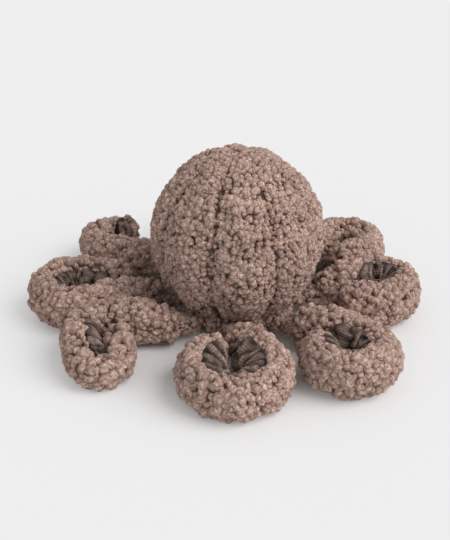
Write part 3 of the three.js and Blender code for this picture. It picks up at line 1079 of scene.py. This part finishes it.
# places points on an arm: distance along it, angle round it (0 outside the curl), depth under the surface
def placeOnArm(line, azimuth, distances, angles, depths):
    curl = line.get("curl", 1)
    deepest = armMake["deepest"]
    spots = np.empty((len(distances), 3))
    known = {}
    for i, (distance, angle, depth) in enumerate(zip(distances, angles, depths)):
        key = round(float(distance), 9)
        if key not in known:
            known[key] = (*linePlace(line, azimuth, distance), *sectionAt(line, distance))
        x, y, heading, halfHeight, halfWidth, _, middle = known[key]
        c, s = math.cos(math.radians(angle)), math.sin(math.radians(angle))
        reach = halfWidth * (armMake["innerFlatness"] if c < 0 else 1)
        out = (reach - min(depth, deepest * reach)) * c
        up = (halfHeight - min(depth, deepest * halfHeight)) * s
        spots[i] = (x - curl * math.sin(heading) * out, y + curl * math.cos(heading) * out, middle + up)
    return spots


def ringPlaces(length):  # along the arm, closer towards both ends
    first = armMake["hemStart"] * armMake["hemHeight"] / 2
    share = np.linspace(0, 1, armMake["rings"])
    ends = np.sin((share - 0.5) * math.pi) / 2 + 0.5
    even = armMake["evenRings"]
    return -first + (length - armMake["tipGap"] + first) * (even * share + (1 - even) * ends)


def makeArmCover(blank, line, number):
    name = line["name"]
    azimuth = azimuthOf(number)
    cover = copyOf(blank, f"arm_{name}_pile")
    tube = pointsOf(cover)
    ring = np.round(tube[:, 2]).astype(int)
    angles = np.degrees(np.arctan2(tube[:, 1], tube[:, 0]))
    along = ringPlaces(lineLength(line))
    distances = along[ring]
    lined = np.array([sectionAt(line, d)[2] for d in along])[ring]
    fromLining = np.abs(np.abs(angles) - 180)
    depths = np.full(len(tube), armMake["backing"])
    depths[fromLining < lined - armMake["bedEdge"]] += armMake["liningBed"]
    spots = placeOnArm(line, azimuth, distances, angles, depths)
    pole = np.hypot(tube[:, 0], tube[:, 1]) < 0.5
    for end in (0, armMake["rings"] - 1):
        spots[pole & (ring == end)] = spots[~pole & (ring == end)].mean(0)
    spots[:, 2] = np.maximum(spots[:, 2], armMake["floorGap"])
    setPoints(cover, spots)
    faceOut(cover)
    swell(cover, (fromLining < lined) | (ring < armMake["pinnedRings"]), armMake["cap"])

    sides = np.sign(angles) * 3  # far enough apart for each edge to wander by itself
    edge = wander(distances / armMake["raggedStep"], sides, number)
    ragged = 1 + armMake["ragged"] * edge
    covered = np.where(fromLining < lined - armMake["pileOver"] * ragged, 0, 1)
    full = smoothStep(distances, *armMake["neck"])
    setValues(cover, "pile", covered * (full > armMake["neckShares"][0]))
    setValues(cover, "neck", covered * (full < armMake["neckShares"][1]))
    grown = smoothStep(fromLining - lined, *armMake["edgeCurlOver"])
    setValues(cover, "curlSize", mixed((armMake["edgeCurl"], 1), grown))
    subdivideOnce(cover)
    growPile(cover, armMake["zones"], seed=20 + number)
    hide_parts(f"arm_{name}_cover")
    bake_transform(cover)
    return cover


liningMake = {
    "startIn": 4 * mm,
    "endIn": 5 * mm,
    "step": 1.3 * mm,
    "across": 18,
    "least": 4,  # degrees to each side
    "overlap": 5,  # degrees that the lining runs on under the pile
    "radian": 57.3,  # degrees
    "pleat": 11.5 * mm,  # along the middle of the arm; the elastic draws them together
    "uneven": 0.45,
    "heights": (0.6, 1.15),
    "drift": (2.2, 1.6),  # mm that a fold runs askew and that it bows, at most
    "sway": 6 * mm,  # how far the folds wander from a straight line
    "swayOver": (9 * mm, 7 * mm),  # along and across the cloth
    "lobes": 1.3,  # how much a pucker's height varies across the cloth
    "lobesOver": (12 * mm, 6 * mm),
    "crinkle": 2.6 * mm,
    "crinkleOver": (3.6 * mm, 5 * mm),
    "arch": (2.2, 0.7),  # powers that shape a pucker's sides and its top
    "crest": 9 * mm,
    "bulge": (0.55, 0.45),  # shares that are even and that follow the puckers
    "valley": 2.4 * mm,
    "flatEdge": 1.7,  # the power by which the puckers fade towards the cloth's sides
    "flatUnder": (4, 24),  # and the degrees over which they grow
    "depth": 0.6 * mm,
    "tuck": 1.2 * mm,  # the sides are tucked under the pile
    # painted shade towards the cloth's sides, under the overhanging pile
    "edgeShade": 0.5,
    "thick": 1.0 * mm,
    "floorGap": 0.3 * mm,
    "flatShare": 0.8,  # the cut is pointed at both ends
}


# the arch of each pucker, and the depth of the cloth under the arm's surface
def puckersOf(line, number, ends, distances, side, half):
    make = liningMake
    draw = random.Random(100 + number)
    pleat = line.get("pleat", make["pleat"])
    drift, bow = make["drift"]
    marks, heights, drifts = [ends[0]], [], []
    while marks[-1] < ends[1]:  # each pleat has its own width, height and drift across the cloth
        marks.append(marks[-1] + pleat * (1 + make["uneven"] * draw.uniform(-1, 1)))
        heights.append(draw.uniform(*make["heights"]))
        drifts.append((draw.uniform(-drift, drift) * mm, draw.uniform(-bow, bow) * mm))
    drifts = np.array([*drifts, (0, 0)])
    edges = np.array(marks)[None, :] + side[:, None] * drifts[None, :, 0]
    edges = edges + (side**2)[:, None] * drifts[None, :, 1]
    across = side * half / make["radian"] * armMake["height"][0] / 2

    def chance(steps, seed):
        return wander(distances / steps[0], across / steps[1], number + seed)

    swayed = distances + make["sway"] * chance(make["swayOver"], 0)
    which = np.clip((swayed[:, None] >= edges).sum(1) - 1, 0, len(heights) - 1)
    rows = np.arange(len(which))
    low, high = edges[rows, which], edges[rows, which + 1]
    t = np.clip((swayed - low) / np.maximum(high - low, weldGap), 0, 1)
    sides, top = make["arch"]
    dome = np.maximum(1 - np.abs(2 * t - 1) ** sides, 0) ** top * np.array(heights)[which]
    dome *= 1 - make["lobes"] * np.abs(chance(make["lobesOver"], 50))
    crinkle = make["crinkle"] * chance(make["crinkleOver"], 90)
    fade = (1 - np.abs(side) ** make["flatEdge"]) * smoothStep(half, *make["flatUnder"])
    even, pleated = make["bulge"]
    bulge = make["crest"] * line["puff"] * (even + pleated * dome)
    depths = make["depth"] + fade * (make["valley"] * (1 - dome) - bulge + crinkle)
    return dome, depths + make["tuck"] * np.abs(side) ** 5


def makeLining(line, number):
    name = line["name"]
    start = line["lined"] + liningMake["startIn"]
    end = lineLength(line) - line.get("end", liningMake["endIn"])
    long, wide = int((end - start) / liningMake["step"]), liningMake["across"]
    pickNone()
    bpy.ops.mesh.primitive_grid_add(x_subdivisions=long, y_subdivisions=wide, size=1)
    lining = newPiece(f"arm_{name}_gathers")
    grid = pointsOf(lining)
    distances = start + (grid[:, 0] + 0.5) * (end - start)
    side = grid[:, 1] * 2
    half = np.array([max(sectionAt(line, d)[2], liningMake["least"]) for d in distances])
    dome, depths = puckersOf(line, number, (start, end), distances, side, half)
    angles = 180 - side * (half + liningMake["overlap"])
    spots = placeOnArm(line, azimuthOf(number), distances, angles, depths)
    setPoints(lining, spots)
    # painted shade: dark in the folds between the puckers and towards the cloth's sides
    setValues(lining, "paintedLight", np.clip(dome, 0, 1) * (1 - liningMake["edgeShade"] * np.abs(side) ** 4))

    layer = lining.data.uv_layers.active or lining.data.uv_layers.new(name="cloth")
    layer.name = "cloth"
    corner = np.empty(len(lining.data.loops), np.int32)
    lining.data.loops.foreach_get("vertex_index", corner)
    spread = np.stack([distances, side * armMake["height"][0] / 2], 1)[corner]
    layer.data.foreach_set("uv", spread.astype(np.float32).ravel())

    wall = lining.modifiers.new("wall", "SOLIDIFY")
    wall.thickness = liningMake["thick"]
    wall.offset = 0
    subdivideOnce(lining)
    keepAbove(lining, liningMake["floorGap"])
    faceOut(lining)
    dress(lining, liningMaterial)
    shadeSmooth(lining)
    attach(lining, f"arm_{name}")
    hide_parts(f"arm_{name}_lining")


rings = [(1, k) for k in range(armMake["rings"])]
blank = turned("arm_blank", [(0, 0), *rings, (0, armMake["rings"] - 1)], armMake["sides"])
for number, line in enumerate(armLines):
    cover = makeArmCover(blank, line, number)
    makeLining(line, number)
    print(f"arm {line['name']} made, {len(cover.data.polygons)} faces")
remove(blank)


# filling: wads of loose fibre inside the covers

wadMake = {"voxel": 3.5 * mm, "lump": 1.6 * mm, "lumpSize": 14 * mm, "weld": 0.01 * mm, "pathSteps": 150}


def pressDown(points, number):  # the filling is pressed down with its cover
    line = armLines[number]
    steps = np.linspace(0, lineLength(line), wadMake["pathSteps"])
    path = np.array([linePlace(line, azimuthOf(number), d)[:2] for d in steps])
    dips = np.array([dipAt(line, d) for d in steps])
    nearest = np.linalg.norm(points[:, None, :2] - path[None], axis=2).argmin(1)
    return points * np.stack([np.ones(len(points))] * 2 + [1 - dips[nearest]], 1)


def makeWad(node, body, number=None):  # an arm's filling has the arm's number
    wad = copyOf(frame["nodes"][node], node + "_wad")
    editAll(wad, bpy.ops.mesh.remove_doubles, threshold=wadMake["weld"])
    clump = wad.modifiers.new("clump", "REMESH")
    clump.mode = "VOXEL"
    clump.voxel_size = wadMake["voxel"]
    addLumps(wad, wadMake["lumpSize"], wadMake["lump"], 1)
    applyAll(wad)
    if number is not None:
        setPoints(wad, pressDown(pointsOf(wad), number))
    dress(wad, stuffs["loose_fibre"])
    shadeSmooth(wad)
    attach(wad, body)
    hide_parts(node)


for node in ("head_filling_upper", "head_filling_lower"):
    makeWad(node, "head")
for number, line in enumerate(armLines):
    makeWad(f"arm_{line['name']}_filling", f"arm_{line['name']}", number)
print("filling made")


# CAD pieces that keep their shape get their finish

for line in armLines:
    dress(frame["nodes"][f"arm_{line['name']}_elastic"], stuffs["knit_elastic"])
for name in ("bladder", "reed"):
    dress(frame["nodes"][f"squeaker_{name}"], stuffs[f"moulded_{name}"])

for curl in list(yarnCurls.objects):
    remove(curl)
bpy.data.collections.remove(yarnCurls)

print("all pieces made")
